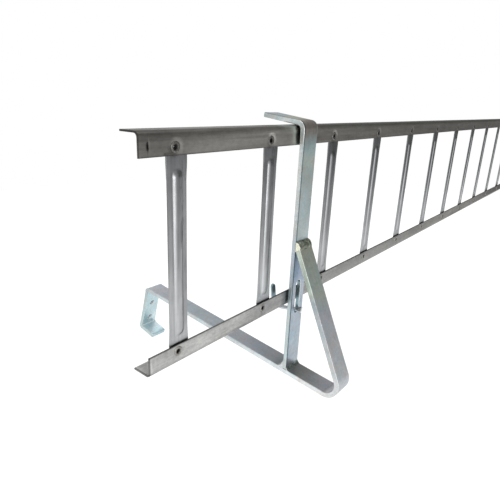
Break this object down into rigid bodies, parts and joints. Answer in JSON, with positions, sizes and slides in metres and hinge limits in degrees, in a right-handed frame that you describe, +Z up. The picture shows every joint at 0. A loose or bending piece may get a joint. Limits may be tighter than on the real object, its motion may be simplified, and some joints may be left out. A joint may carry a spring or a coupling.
{
  "type": "snow guard lattice in a roof bracket",
  "caption": "Ladder-like riveted steel lattice held upright in a welded flat-bar roof bracket with a batten hook, brace, top arm and slotted J clip.",
  "frame": {"origin": "middle of the hook plate's inner flat face, between its two screw holes, where the plate bears on the roof batten", "axes": "+X along the lattice, +Y from its front (eaves side) to its back (ridge side), +Z up along the rungs"},
  "size_m": [1.5029, 0.3526, 0.3489],
  "materials": {
    "bright_zinc": "bright zinc plating, bluish, satin with streaks",
    "zinc_weld": "zinc-plated weld bead",
    "top_sheet": "mill-finish sheet steel, dull brownish grey with streaks",
    "bottom_sheet": "mill-finish sheet steel, lighter grey",
    "rung_sheet": "mill-finish pressed sheet steel",
    "rivet_steel": "plain hollow rivets"
  },
  "bodies": {
    "bracket": {"hook_strap": "bright_zinc", "upright": "bright_zinc", "brace_weld": "zinc_weld", "foot_weld_front": "zinc_weld", "foot_weld_back": "zinc_weld"},
    "clip": {"locking_clip": "bright_zinc"},
    "lattice": {"top_rail": "top_sheet", "bottom_rail": "bottom_sheet", "rung_01": "rung_sheet", "rung_02": "rung_sheet", "rung_03": "rung_sheet", "rung_04": "rung_sheet", "rung_05": "rung_sheet", "rung_06": "rung_sheet", "rung_07": "rung_sheet", "rung_08": "rung_sheet", "rung_09": "rung_sheet", "rung_10": "rung_sheet", "rung_11": "rung_sheet", "rung_12": "rung_sheet", "rung_13": "rung_sheet", "top_rivet_01": "rivet_steel", "top_rivet_02": "rivet_steel", "top_rivet_03": "rivet_steel", "top_rivet_04": "rivet_steel", "top_rivet_05": "rivet_steel", "top_rivet_06": "rivet_steel", "top_rivet_07": "rivet_steel", "top_rivet_08": "rivet_steel", "top_rivet_09": "rivet_steel", "top_rivet_10": "rivet_steel", "top_rivet_11": "rivet_steel", "top_rivet_12": "rivet_steel", "top_rivet_13": "rivet_steel", "bottom_rivet_01": "rivet_steel", "bottom_rivet_02": "rivet_steel", "bottom_rivet_03": "rivet_steel", "bottom_rivet_04": "rivet_steel", "bottom_rivet_05": "rivet_steel", "bottom_rivet_06": "rivet_steel", "bottom_rivet_07": "rivet_steel", "bottom_rivet_08": "rivet_steel", "bottom_rivet_09": "rivet_steel", "bottom_rivet_10": "rivet_steel", "bottom_rivet_11": "rivet_steel", "bottom_rivet_12": "rivet_steel", "bottom_rivet_13": "rivet_steel"}
  },
  "joints": [
    {"name": "lattice_slide", "type": "slide", "parent": "bracket", "child": "lattice", "axis": [1, 0, 0], "range_m": [-1.26, 0.17]},
    {"name": "clip_release", "type": "hinge", "parent": "bracket", "child": "clip", "pos_m": [0, -0.26477, 0.09126], "axis": [-1, 0, 0], "range_deg": [0, 34]}
  ]
}
